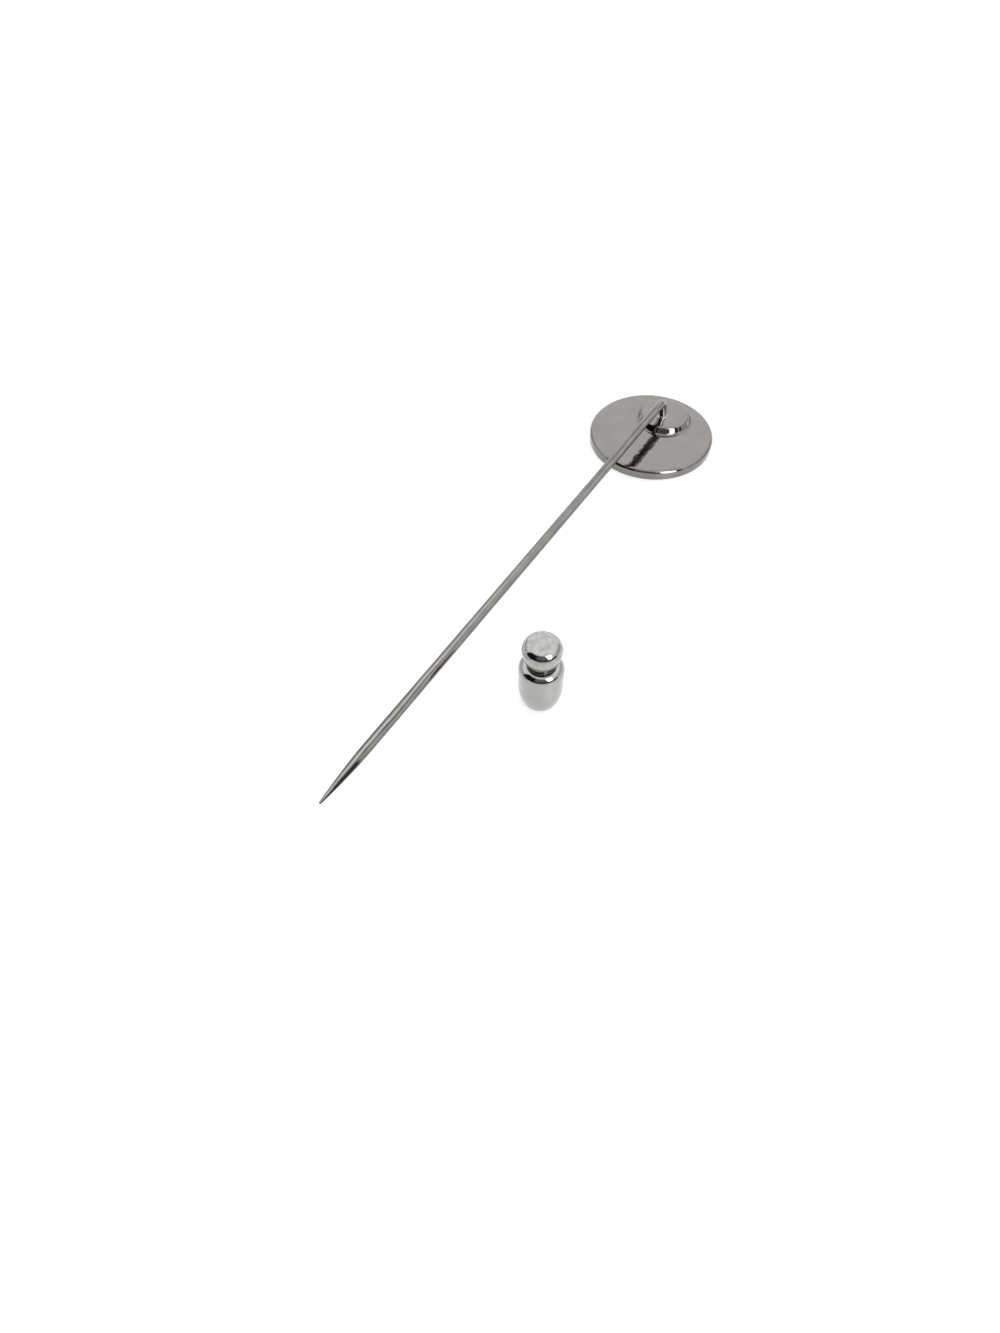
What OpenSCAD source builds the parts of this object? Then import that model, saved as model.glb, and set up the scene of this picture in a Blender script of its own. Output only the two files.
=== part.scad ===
// Stick pin with its clutch: a round face disc lying face down, a round pad on its back, a
// long wire needle whose end is bent down onto the pad, and a bullet clutch beside it.
// The origin is the middle of the disc's face, on the surface that it lies on. +Z is up
// and the needle points along -Y.

/* [Disc] */
// Diameter of the face disc
disc_d = 18; // [16:0.5:24]
// Thickness of the face disc
disc_t = 1.5; // [1.3:0.1:2.5]
// Rounding of the disc's back, down to the narrow slope at its edge
disc_back_round = 0.5; // [0.3:0.05:0.6]
// Length of the narrow slope at the edge of the disc's back
disc_slope_l = 0.16; // [0.1:0.02:0.3]
// Rounding of the disc's front edge
disc_front_round = 0.2; // [0.1:0.05:0.4]

/* [Pad] */
// Diameter of the pad at its rim
pad_rim_d = 8.26; // [7.8:0.02:9]
// Thickness of the pad at its rim
pad_rim_t = 0.04; // [0.03:0.01:0.1]
// Height of the pad above the disc's back
pad_t = 0.92; // [0.9:0.02:1.3]
// Steepness of the pad's side, in degrees
pad_steep = 57; // [50:1:60]
// Radius of the hollow curve at the foot of the pad's side
pad_hollow_r = 0.45; // [0.3:0.05:0.6]
// Radius of the pad's top edge
pad_edge_r = 0.4; // [0.2:0.05:0.5]
// Distance of the pad's middle from the disc's middle, away from the point
pad_y = 3.7; // [3:0.1:4]
// Distance of the pad's middle from the disc's middle, across the needle
pad_x = 0.25; // [0:0.05:0.5]

/* [Needle] */
// Diameter of the needle's wire
wire_d = 1.2; // [1:0.1:1.4]
// Height of the needle's middle line above the disc's back
needle_rise = 3.1; // [2.6:0.1:4]
// Distance of the needle's middle line from the disc's middle
needle_x = -0.22; // [-0.5:0.02:0.2]
// Length of the needle from its bend to its point
needle_l = 76.75; // [50:0.25:90]
// Length of the ground point
taper_l = 7.4; // [5:0.1:12]
// Rounding of the very tip
tip_r = 0.13; // [0.1:0.01:0.2]
// Radius of the bend, at the middle of the wire
bend_r = 0.75; // [0.7:0.05:1.2]
// Distance of the bent leg from the disc's middle, away from the point
leg_y = 3.08; // [2.6:0.02:3.6]
// How far the leg leans across the needle, in degrees
leg_lean = 10; // [0:1:15]
// Diameter of the solder round the leg's foot
solder_d = 1.5; // [1.4:0.1:2]
// Height of the solder round the leg's foot
solder_h = 0.15; // [0.1:0.05:0.3]

/* [Clutch] */
// Diameter of the barrel
barrel_d = 5.2; // [4.8:0.1:7]
// Height of the barrel
barrel_h = 6.7; // [6:0.05:9]
// Rounding of the barrel's shoulder
shoulder_round = 1; // [0.6:0.02:1.05]
// Height at which the barrel starts to narrow towards its open end
nose_h = 2.9; // [2.5:0.1:5]
// Radius of the curve that narrows the barrel
nose_curve_r = 7.6; // [7:0.1:30]
// Rounding of the barrel's open end
nose_round = 0.25; // [0.2:0.01:0.5]
// Diameter of the hole that takes the needle
bore_d = 1.3; // [1.25:0.05:1.7]
// Height of the whole clutch
clutch_h = 10.23; // [10:0.01:14]
// Diameter of the knob at its widest
knob_d = 4.58; // [4.4:0.02:5]
// Diameter of the knob's flat top
knob_flat_d = 3.31; // [3:0.01:3.6]
// Radius of the knob's upper edge
knob_upper_r = 1.27; // [1:0.01:1.4]
// How much the knob's skirt narrows towards the barrel, in degrees
knob_skirt_lean = 12.5; // [5:0.5:16]
// Gap between the knob's skirt and the barrel
knob_gap = 0.9; // [0.5:0.05:1.2]
// Diameter of the knob's neck
neck_d = 2.9; // [2.4:0.1:3]
// Place of the clutch beside the needle
clutch_x = 10.35; // [8:0.05:20]
// Place of the clutch along the needle
clutch_y = -48.4; // [-60:0.1:-20]

/* [Hidden] */
$fn = 96;

nickel = [0.66, 0.645, 0.63];
bright_nickel = [0.72, 0.71, 0.70];

disc_r = disc_d / 2;
wire_r = wire_d / 2;
pad_top_z = disc_t + pad_t;
needle_z = disc_t + needle_rise;
// Pieces that are soldered on sink this deep into what carries them
sink = 0.3;
// Steps of the short arcs in an outline
arc_steps = 4;

// The disc's back turns down over an arc, runs down the slope and turns over at the side
disc_slope = 50;
disc_side_round = 0.1;
slope_up = 90 - disc_slope;
disc_edge_r = disc_r - disc_side_round;
turn_r = disc_edge_r + (disc_side_round - disc_back_round) * cos(slope_up) - disc_slope_l * cos(disc_slope);
disc_edge_z = disc_t - disc_back_round + (disc_back_round - disc_side_round) * sin(slope_up)
    - disc_slope_l * sin(disc_slope);

// The pad's side sweeps up from its rim in a hollow arc, runs up a cone and turns over
pad_rim_steep = 12;
hollow_r = pad_rim_d / 2 + pad_hollow_r * sin(pad_rim_steep);
hollow_z = pad_rim_t + pad_hollow_r * cos(pad_rim_steep);
edge_z = pad_t - pad_edge_r;
cone_rise = edge_z + pad_edge_r * cos(pad_steep) - hollow_z + pad_hollow_r * cos(pad_steep);
edge_r = hollow_r - (pad_hollow_r + pad_edge_r) * sin(pad_steep) - cone_rise / tan(pad_steep);

// The leg reaches from the bend down into the pad
leg_drop = needle_z - bend_r - pad_top_z;
leg_l = leg_drop / cos(leg_lean) + sink;
leg_foot_x = needle_x + (leg_drop + bend_r) * tan(leg_lean);
shank_l = needle_l - taper_l;

// The ground point narrows along a shallow parabola, from shank_slope at its start
shank_slope = 0.022;
taper_steps = 8;
taper_bow = (wire_r - tip_r - shank_slope * taper_l) / (taper_l * taper_l);
function taper_radius(s) = wire_r - shank_slope * s - taper_bow * s * s;

barrel_r = barrel_d / 2;
bore_r = bore_d / 2;
neck_r = neck_d / 2;
knob_r = knob_d / 2;
// Room between the knob's neck and the barrel, on each side and under its end
neck_clearance = 0.05;
chamber_floor = 3.6;
neck_end_gap = 0.15;
bore_top = 8.2;
// The small curve of the open end touches the long one at nose_touch
nose_centre_x = barrel_r - nose_curve_r;
nose_reach = sqrt(pow(nose_curve_r - nose_round, 2) - pow(nose_h - nose_round, 2));
nose_flat_r = nose_centre_x + nose_reach;
nose_touch = nose_h - (nose_h - nose_round) * nose_curve_r / (nose_curve_r - nose_round);
// The knob is widest at knob_mid_z. One arc is its upper edge and runs on into the straight
// skirt, which ends at knob_low_z
knob_arc_x = knob_r - knob_upper_r;
knob_mid_z = clutch_h - sqrt(pow(knob_upper_r, 2) - pow(knob_flat_d / 2 - knob_arc_x, 2));
knob_low_z = barrel_h + knob_gap;
skirt_top_r = knob_arc_x + knob_upper_r * cos(knob_skirt_lean);
skirt_top_z = knob_mid_z - knob_upper_r * sin(knob_skirt_lean);
skirt_low_r = skirt_top_r - (skirt_top_z - knob_low_z) * tan(knob_skirt_lean);
dimple_r = 0.5;
dimple_depth = 0.12;

// Points along an arc, between two angles
function arc_points(x, y, r, from, to) = [
    for (i = [0 : arc_steps])
        let (a = from + (to - from) * i / arc_steps)
            [x + r * cos(a), y + r * sin(a)]
];

// Half outline of the disc, with its round front edge and the slope at the edge of its back
module disc_outline() {
    side = arc_points(disc_edge_r, disc_edge_z, disc_side_round, 0, slope_up);
    turn = arc_points(turn_r, disc_t - disc_back_round, disc_back_round, slope_up, 90);
    foot = [[0, disc_front_round], [disc_r, disc_front_round]];
    polygon(concat(foot, side, turn, [[0, disc_t]]));
    square([disc_r - disc_front_round, 2 * disc_front_round]);
    translate([disc_r - disc_front_round, disc_front_round]) circle(r = disc_front_round);
}

// Half outline of the pad, with the S curve of its side
module pad_outline() {
    hollow = arc_points(hollow_r, hollow_z, pad_hollow_r, 270 - pad_rim_steep, 270 - pad_steep);
    edge = arc_points(edge_r, edge_z, pad_edge_r, 90 - pad_steep, 90);
    foot = [[0, -sink], [pad_rim_d / 2, -sink]];
    polygon(concat(foot, hollow, edge, [[0, pad_t]]));
}

// Half outline of the ground point, from the shank at 0 to the tip
module point_outline() {
    steps = [for (i = [0 : taper_steps]) taper_l * i / taper_steps];
    side = [for (s = steps) [taper_radius(s), s]];
    polygon(concat([[0, 0]], side, [[0, taper_l]]));
}

// The needle is one wire: a leg that stands on the pad, a bend, the straight shank along -Y
// and the ground point
module needle() {
    translate([needle_x, leg_y - bend_r, needle_z]) {
        rotate([0, -leg_lean, 0]) {
            translate([0, bend_r, -bend_r]) rotate([180, 0, 0]) cylinder(h = leg_l, r = wire_r);
            translate([0, 0, -bend_r]) rotate([90, 0, 90])
                rotate_extrude(angle = 90) translate([bend_r, 0]) circle(r = wire_r);
        }
        rotate([90, 0, 0]) {
            cylinder(h = shank_l, r = wire_r);
            translate([0, 0, shank_l]) rotate_extrude() point_outline();
        }
    }
}

// Solder round the foot of the leg
module leg_solder() {
    translate([leg_foot_x, leg_y, pad_top_z - sink]) {
        cylinder(h = sink, r = solder_d / 2);
        translate([0, 0, sink]) cylinder(h = solder_h, r1 = solder_d / 2, r2 = wire_r);
    }
}

module soldered_pin() {
    color(nickel) {
        rotate_extrude() disc_outline();
        translate([pad_x, pad_y, disc_t]) rotate_extrude() pad_outline();
        leg_solder();
        needle();
    }
}

// Half outline of the barrel without its holes
module barrel_outline() {
    square([nose_flat_r, barrel_h]);
    translate([nose_flat_r, nose_round]) circle(r = nose_round);
    intersection() {
        translate([nose_centre_x, nose_h]) circle(r = nose_curve_r, $fn = 256);
        translate([0, nose_touch]) square([barrel_r, nose_h - nose_touch]);
    }
    translate([0, nose_h]) square([barrel_r, barrel_h - shoulder_round - nose_h]);
    translate([0, nose_h]) square([barrel_r - shoulder_round, barrel_h - nose_h]);
    translate([barrel_r - shoulder_round, barrel_h - shoulder_round]) circle(r = shoulder_round);
}

module clutch_barrel() {
    color(bright_nickel) translate([clutch_x, clutch_y, 0])
        difference() {
            rotate_extrude() intersection() {
                barrel_outline();
                square([barrel_r, barrel_h]);
            }
            translate([0, 0, -1]) cylinder(h = chamber_floor + 2, r = bore_r);
            translate([0, 0, chamber_floor]) cylinder(h = barrel_h, r = neck_r + neck_clearance);
        }
}

// Half outline of the knob: a flat top with a round edge over a straight skirt, on a neck that
// goes down into the barrel
module knob_outline() {
    neck_bottom = chamber_floor + neck_end_gap;
    intersection() {
        translate([knob_arc_x, knob_mid_z]) circle(r = knob_upper_r);
        translate([0, skirt_top_z]) square([knob_r, clutch_h - skirt_top_z]);
    }
    translate([0, knob_low_z]) square([knob_arc_x, clutch_h - knob_low_z]);
    polygon([[0, knob_low_z], [skirt_low_r, knob_low_z], [skirt_top_r, skirt_top_z], [0, skirt_top_z]]);
    translate([0, neck_bottom]) square([neck_r, knob_mid_z - neck_bottom]);
}

module clutch_knob() {
    color(bright_nickel) translate([clutch_x, clutch_y, 0])
        difference() {
            rotate_extrude() knob_outline();
            cylinder(h = bore_top, r = bore_r);
            translate([0, 0, clutch_h + dimple_r - dimple_depth]) sphere(r = dimple_r);
        }
}

soldered_pin();
clutch_barrel();
clutch_knob();
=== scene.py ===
# %% [markdown]
# A stick pin and its clutch.
# A round disc lies on its face, so that its plain back shows. A round pad is soldered on the
# back. One long wire is the needle: it is bent down to a short leg, which is soldered to the
# pad, and it runs past the edge of the disc to its ground point. Beside it stands the bullet
# clutch that covers the point when the pin is worn. Everything is polished metal, so most of
# what one sees is a reflection, and the shapes and the room round them matter more than any
# colour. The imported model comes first, because its boxes give the sizes that must agree.

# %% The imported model
import math

import bpy
from mathutils import Matrix, Vector


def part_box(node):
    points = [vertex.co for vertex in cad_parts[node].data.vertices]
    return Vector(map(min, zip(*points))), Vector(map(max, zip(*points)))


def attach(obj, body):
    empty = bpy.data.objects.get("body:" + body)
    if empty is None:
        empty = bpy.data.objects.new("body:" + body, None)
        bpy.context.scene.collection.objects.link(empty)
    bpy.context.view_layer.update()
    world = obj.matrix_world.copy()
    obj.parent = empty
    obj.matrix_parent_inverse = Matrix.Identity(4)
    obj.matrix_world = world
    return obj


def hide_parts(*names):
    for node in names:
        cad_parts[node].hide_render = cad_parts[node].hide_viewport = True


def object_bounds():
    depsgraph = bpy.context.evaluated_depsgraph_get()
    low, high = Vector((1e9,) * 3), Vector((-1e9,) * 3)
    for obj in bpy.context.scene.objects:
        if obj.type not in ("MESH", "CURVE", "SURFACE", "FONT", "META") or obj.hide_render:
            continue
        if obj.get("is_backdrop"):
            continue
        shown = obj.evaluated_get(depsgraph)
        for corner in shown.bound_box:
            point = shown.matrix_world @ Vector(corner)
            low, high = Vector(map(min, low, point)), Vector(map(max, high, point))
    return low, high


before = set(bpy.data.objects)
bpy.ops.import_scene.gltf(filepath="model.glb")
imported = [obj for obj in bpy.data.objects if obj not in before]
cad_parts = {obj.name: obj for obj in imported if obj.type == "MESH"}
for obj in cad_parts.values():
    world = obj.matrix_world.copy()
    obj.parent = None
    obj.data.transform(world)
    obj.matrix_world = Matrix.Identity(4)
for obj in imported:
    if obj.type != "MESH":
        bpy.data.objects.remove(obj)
cad_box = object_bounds()
MM = 0.001
pin_low, pin_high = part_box("soldered_pin")
barrel_low, barrel_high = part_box("clutch_barrel")
knob_low, knob_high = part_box("clutch_knob")
print("pin", [round(v / MM, 2) for v in (*pin_low, *pin_high)])
print("barrel", [round(v / MM, 2) for v in (*barrel_low, *barrel_high)])
print("knob", [round(v / MM, 2) for v in (*knob_low, *knob_high)])

# %% [markdown]
# The camera comes first, because every reflection depends on where one stands. The photo was
# taken from about 54 degrees above the table, with the needle running down to the left. A
# camera could be aimed with a constraint, but its right, up and forward directions are plain
# sums of sines, so it is simply placed, and it keeps a small roll.

# %% Camera
IMAGE_W, IMAGE_H = 1000, 1333
FOCAL_PX = 842.0
SENSOR = 36.0
look_down = math.radians(53.955)
turned = math.radians(33.895)
rolled = math.radians(-1.06)
aim = Vector((3.991, -47.233, 0)) * MM
camera_distance = 101.39 * MM


def in_part(across, along, up):
    """A direction given across and along the camera's ground line, in the part's frame."""
    return Vector((
        across * math.cos(turned) - along * math.sin(turned),
        across * math.sin(turned) + along * math.cos(turned),
        up,
    ))


sight = in_part(0, math.cos(look_down), -math.sin(look_down))
level = in_part(1, 0, 0)
upward = in_part(0, math.sin(look_down), math.cos(look_down))
right = math.cos(rolled) * level + math.sin(rolled) * upward
above = math.cos(rolled) * upward - math.sin(rolled) * level

camera_data = bpy.data.cameras.new("camera")
camera_data.sensor_width = SENSOR
camera_data.lens = FOCAL_PX / IMAGE_H * SENSOR
camera_data.clip_start = 1 * MM
camera_data.clip_end = 100
camera = bpy.data.objects.new("camera", camera_data)
bpy.context.scene.collection.objects.link(camera)
turn = Matrix([[right[i], above[i], -sight[i]] for i in range(3)]).to_4x4()
camera.matrix_world = Matrix.Translation(aim - sight * camera_distance) @ turn
bpy.context.scene.camera = camera
print("lens", round(camera_data.lens, 2), "mm at", [round(c / MM, 1) for c in camera.location])

# %% [markdown]
# The room. Polished metal shows the room and nothing else, so the room is drawn by direction:
# how high above the table one looks, and how far round from the camera. Behind the object the
# walls are light, and brightest half way up. On the camera's side it is dark, with a grey
# middle where the photographer stands. This could be done with many lamps and cards, but a few
# masks on the world's direction stay exact and cost no time. Each patch below goes from left
# to right in degrees round from the camera, and from low to high in degrees above the table.
# Looked at directly, past the edge of the table, the room is a plain pale backdrop.

# %% Room
bpy.context.scene.view_settings.view_transform = "Standard"
WALL_BY_HEIGHT = (
    (-90, 0.90),
    (0, 1.10),
    (12, 1.20),
    (30, 1.40),
    (52, 1.42),
    (66, 1.20),
    (90, 1.05),
)
LEFT_WALL = {"left": -152, "right": -80, "low": -8, "high": 26, "glow": 0.80, "soft": 8.0}
RIGHT_WALL = {"left": 60, "right": 132, "low": -8, "high": 34, "glow": 0.82, "soft": 8.0}
DARK_SIDE = {"left": -88, "right": 56, "low": -6, "high": 61, "glow": 0.012, "soft": 2.5}
DARK_CORNER = {"left": 50, "right": 72, "low": -4, "high": 17, "glow": 0.05, "soft": 2.0}
GREY_BAND = {"left": -33, "right": 24, "low": 26, "high": 61, "glow": 0.25, "soft": 5.0}
GREY_FOOT = {"left": -33, "right": 50, "low": -6, "high": 26, "glow": 0.08, "soft": 5.0}
ROOM_PATCHES = (LEFT_WALL, RIGHT_WALL, DARK_SIDE, DARK_CORNER, GREY_FOOT, GREY_BAND)
BACKDROP_GLOW = 1.0
print("room of", len(WALL_BY_HEIGHT), "wall heights and", len(ROOM_PATCHES), "patches")

# %% [markdown]
# Node trees are long to write, and the same few moves come back in each: add a node, join a
# socket to it or give it a number, and take its result further. A small helper does these
# moves, so that the room, the finishes and the shapes below can be read as formulas. The trees
# could be drawn by hand in the node editor, but then they couldn't be kept and read as text.

# %% Wiring helper
RAD = math.pi / 180


class Wiring:
    """Adds nodes to one tree and joins them, so that a formula reads from left to right."""

    def __init__(self, tree):
        self.tree = tree

    def node(self, kind, **values):
        made = self.tree.nodes.new(kind)
        for name, value in values.items():
            setattr(made, name, value)
        return made

    def plug(self, source, socket):
        if isinstance(source, bpy.types.NodeSocket):
            self.tree.links.new(source, socket)
        else:
            socket.default_value = source

    def maths(self, operation, *terms):
        made = self.node("ShaderNodeMath", operation=operation)
        for term, socket in zip(terms, made.inputs):
            self.plug(term, socket)
        return made.outputs[0]

    def vector(self, operation, *terms):
        made = self.node("ShaderNodeVectorMath", operation=operation)
        for term, socket in zip(terms, made.inputs):
            self.plug(term, socket)
        return made.outputs["Value" if operation == "DOT_PRODUCT" else "Vector"]

    def step(self, value, edge, soft):
        """0 below the edge and 1 above it, with a soft change."""
        made = self.node("ShaderNodeMapRange", interpolation_type="SMOOTHSTEP")
        self.plug(value, made.inputs["Value"])
        made.inputs["From Min"].default_value = edge - soft
        made.inputs["From Max"].default_value = edge + soft
        return made.outputs["Result"]


# %% [markdown]
# Painting the room. The world's shader is given the direction of each ray. Two angles are
# worked out from it, and each patch of the room is a soft rectangle of these angles. A later
# patch lies over the earlier ones. A picture wrapped round the scene would do the same, but
# numbers can be read and changed one at a time.

# %% Painting the room
def window_mask(wiring, around, height, patch):
    """1 inside a patch of the room and 0 outside it."""
    sides = wiring.maths(
        "SUBTRACT",
        wiring.step(around, patch["left"], patch["soft"]),
        wiring.step(around, patch["right"], patch["soft"]),
    )
    ends = wiring.maths(
        "SUBTRACT",
        wiring.step(height, patch["low"], patch["soft"]),
        wiring.step(height, patch["high"], patch["soft"]),
    )
    return wiring.maths("MULTIPLY", sides, ends)


def paint_room():
    world = bpy.data.worlds.new("room")
    bpy.context.scene.world = world
    world.use_nodes = True
    world.node_tree.nodes.clear()
    wiring = Wiring(world.node_tree)
    direction = wiring.node("ShaderNodeTexCoord").outputs["Generated"]
    up = wiring.vector("DOT_PRODUCT", direction, (0, 0, 1))
    to_camera = wiring.vector("DOT_PRODUCT", direction, tuple(in_part(0, -1, 0)))
    to_right = wiring.vector("DOT_PRODUCT", direction, tuple(in_part(1, 0, 0)))
    height = wiring.maths("DIVIDE", wiring.maths("ARCSINE", up), RAD)
    around = wiring.maths("DIVIDE", wiring.maths("ARCTAN2", to_right, to_camera), RAD)
    walls = wiring.node("ShaderNodeValToRGB")
    stops = walls.color_ramp.elements
    for i, (angle, glow) in enumerate(WALL_BY_HEIGHT):
        place = (angle + 90) / 180
        stop = stops[i] if i < 2 else stops.new(place)
        stop.position = place
        stop.color = (glow, glow, glow, 1)
    wiring.plug(wiring.maths("DIVIDE", wiring.maths("ADD", height, 90.0), 180.0), walls.inputs[0])
    glow = walls.outputs["Color"]
    for patch in ROOM_PATCHES:
        mask = window_mask(wiring, around, height, patch)
        rest = wiring.maths("MULTIPLY", glow, wiring.maths("SUBTRACT", 1.0, mask))
        glow = wiring.maths("ADD", rest, wiring.maths("MULTIPLY", mask, patch["glow"]))
    seen = wiring.node("ShaderNodeLightPath").outputs["Is Camera Ray"]
    mirrored = wiring.maths("MULTIPLY", glow, wiring.maths("SUBTRACT", 1.0, seen))
    glow = wiring.maths("MULTIPLY_ADD", seen, BACKDROP_GLOW, mirrored)
    background = wiring.node("ShaderNodeBackground")
    wiring.plug(glow, background.inputs["Color"])
    wiring.plug(background.outputs[0], wiring.node("ShaderNodeOutputWorld").inputs["Surface"])
    return world


room = paint_room()
print("room painted with", len(room.node_tree.nodes), "nodes")

# %% [markdown]
# The softbox. The one bright window that the metal mirrors is a softbox to the right of the
# camera. A patch of the room would be simpler, but the pad and the clutch stand 5 cm apart,
# and each of them mirrors the light from its own side. So it is a real lamp at a real
# distance, and its power follows from its size, so that it glows the same at any size.

# %% Softbox
SOFTBOX_PLACE = (114.3, 201.4, 182.0)
SOFTBOX_SIZE = (106.0, 195.0)
SOFTBOX_AIM = (10.35, -48.4, 8.0)
SOFTBOX_GLOW = 5.0


def hang_softbox():
    """A flat light, so far across, towards the camera and up from the middle of the disc."""
    across, near, high = (v * MM for v in SOFTBOX_PLACE)
    place = in_part(across, -near, high)
    target = Vector(SOFTBOX_AIM) * MM
    width, tall = (v * MM for v in SOFTBOX_SIZE)
    lamp = bpy.data.lights.new("softbox", "AREA")
    lamp.shape = "RECTANGLE"
    lamp.size = width
    lamp.size_y = tall
    lamp.energy = SOFTBOX_GLOW * math.pi * width * tall
    softbox = bpy.data.objects.new("softbox", lamp)
    bpy.context.scene.collection.objects.link(softbox)
    away = (place - target).normalized()
    side = Vector((0, 0, 1)).cross(away).normalized()
    turn = Matrix((side, away.cross(side), away)).transposed().to_4x4()
    softbox.matrix_world = Matrix.Translation(place) @ turn
    return softbox


softbox = hang_softbox()
print("softbox at", [round(c / MM) for c in softbox.location], "mm")

# %% [markdown]
# The table is a plain pale sheet, lit from the room and from below, as a light table is. The
# glow from below leaves hardly any shadow, and it is what the lower half of each round shape
# mirrors. A white sheet under bright lamps would look the same from above, but its shadows
# would be dark.

# %% Table
TABLE_MIDDLE = (4.0, -35.0)
TABLE_HALF = 600.0
TABLE_DROP = 0.01
TABLE_PAINT = 0.4
TABLE_GLOW = 0.70


def pale_sheet():
    material = bpy.data.materials.new("pale_sheet")
    material.use_nodes = True
    paint = material.node_tree.nodes["Principled BSDF"]
    paint.inputs["Base Color"].default_value = (TABLE_PAINT, TABLE_PAINT, TABLE_PAINT, 1)
    paint.inputs["Roughness"].default_value = 0.3
    paint.inputs["Specular IOR Level"].default_value = 0.5
    paint.inputs["Emission Color"].default_value = (1, 1, 1, 1)
    paint.inputs["Emission Strength"].default_value = TABLE_GLOW
    return material


def lay_table():
    middle_x, middle_y = TABLE_MIDDLE
    corners = [(-1, -1), (1, -1), (1, 1), (-1, 1)]
    places = [
        Vector((middle_x + x * TABLE_HALF, middle_y + y * TABLE_HALF, -TABLE_DROP)) * MM
        for x, y in corners
    ]
    mesh = bpy.data.meshes.new("table")
    mesh.from_pydata(places, [], [(0, 1, 2, 3)])
    table = bpy.data.objects.new("table", mesh)
    bpy.context.scene.collection.objects.link(table)
    mesh.materials.append(pale_sheet())
    table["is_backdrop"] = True
    return table


lay_table()
print("table", 2 * TABLE_HALF, "mm across, its top", TABLE_DROP, "mm under the disc")

# %% [markdown]
# Polished nickel. Nickel is a warm grey mirror. Plating and handling leave it with faint
# hairlines, small hazy patches and a slight ripple, and its colour is never quite even. All
# of that is read from the object's own coordinates, so it stays where it is when one walks
# round the piece. The strength of each effect is a named value, so that one recipe serves the
# stamped disc, the drawn wire and the turned clutch. First come the small patterns that the
# recipe is put together from.

# %% Small patterns
PER_MM = 1 / MM


def mapped(wiring, stretch, shift=(0, 0, 0)):
    """Object coordinates, stretched for one pattern."""
    mapping = wiring.node("ShaderNodeMapping")
    wiring.plug(wiring.node("ShaderNodeTexCoord").outputs["Object"], mapping.inputs["Vector"])
    mapping.inputs["Location"].default_value = shift
    mapping.inputs["Scale"].default_value = stretch
    return mapping.outputs["Vector"]


def noise(wiring, place, scale, detail=2.0, rough=0.5):
    made = wiring.node("ShaderNodeTexNoise")
    wiring.plug(place, made.inputs["Vector"])
    made.inputs["Scale"].default_value = scale
    made.inputs["Detail"].default_value = detail
    made.inputs["Roughness"].default_value = rough
    return made.outputs["Fac"]


def between(wiring, value, low, high, out_low, out_high):
    made = wiring.node("ShaderNodeMapRange")
    wiring.plug(value, made.inputs["Value"])
    for name, number in (
        ("From Min", low),
        ("From Max", high),
        ("To Min", out_low),
        ("To Max", out_high),
    ):
        made.inputs[name].default_value = number
    return made.outputs["Result"]


# %% [markdown]
# Painted highlight and shade along the wire. The wire's colour is made lighter and darker by
# the angle round it, in long light and dark lines that turn slowly towards the bend. These
# painted lines stand in for the wire's highlights and shade. Fine grooves in the mesh could
# make them, but a table of tones by the angle round the wire is easier to read. One table is
# for the ground point, one for the shank and one for the stretch over the disc, and each
# changes into the next along the wire.

# %% Painted shade along the wire
WIRE_AXIS = (-0.22, 4.6)
PAINTED_SHADE_FROM_Y = -66.0
PAINTED_SHADE_TO_Y = -11.0
PAINTED_SHADE_END_Y = 1.0
GROUND_FROM_Y = -68.4
BEND_FOOT_Z = 3.5
BEND_TOP_Z = 4.3
# The leg and the solder on it are painted lighter, a painted highlight; the top of the bend is
# painted darker, painted shade.
LEG_PAINTED_LIGHT = 1.5
BEND_PAINTED_SHADE = 0.62
WANDER = 4.0
GRAIN = 3.5
# Painted highlight and shade: each table brightens or darkens the wire's colour by the angle round
# it.
GROUND_PAINTED_SHADE = (
    (-180, 0.50),
    (-60, 0.36),
    (-20, 0.36),
    (-4, 0.80),
    (8, 1.35),
    (20, 0.70),
    (34, 0.10),
    (66, 0.12),
    (100, 0.25),
    (180, 0.50),
)
SHANK_PAINTED_SHADE = (
    (-180, 0.50),
    (-60, 0.30),
    (-22, 0.31),
    (-4, 0.80),
    (8, 1.35),
    (18, 0.85),
    (29, 0.05),
    (37, 0.60),
    (45, 1.05),
    (54, 0.80),
    (66, 0.42),
    (88, 0.50),
    (180, 0.56),
)
DISC_PAINTED_SHADE = (
    (-180, 0.50),
    (-40, 0.55),
    (-15, 0.56),
    (0, 0.46),
    (11, 0.24),
    (23, 0.60),
    (37, 1.05),
    (50, 0.85),
    (68, 0.46),
    (90, 0.55),
    (180, 0.56),
)


def painted_shade_ramp(wiring, angle, painted_shade):
    """How bright the painted highlight and shade make the wire at each angle, 0 on top, 90 right.
    """
    ramp = wiring.node("ShaderNodeValToRGB")
    stops = ramp.color_ramp.elements
    ramp.color_ramp.interpolation = "EASE"
    for i, (degrees, share) in enumerate(painted_shade):
        place = (degrees + 180) / 360
        stop = stops[i] if i < 2 else stops.new(place)
        stop.position = place
        stop.color = (share, share, share, 1)
    wiring.plug(wiring.maths("DIVIDE", wiring.maths("ADD", angle, 180.0), 360.0), ramp.inputs[0])
    # A multiplication by one turns the ramp's grey into a plain number.
    return wiring.maths("MULTIPLY", ramp.outputs["Color"], 1.0)


def blend(wiring, share, first, second):
    """The first value at share 0 and the second at share 1."""
    rest = wiring.maths("MULTIPLY", wiring.maths("SUBTRACT", 1.0, share), first)
    return wiring.maths("MULTIPLY_ADD", share, second, rest)


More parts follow.
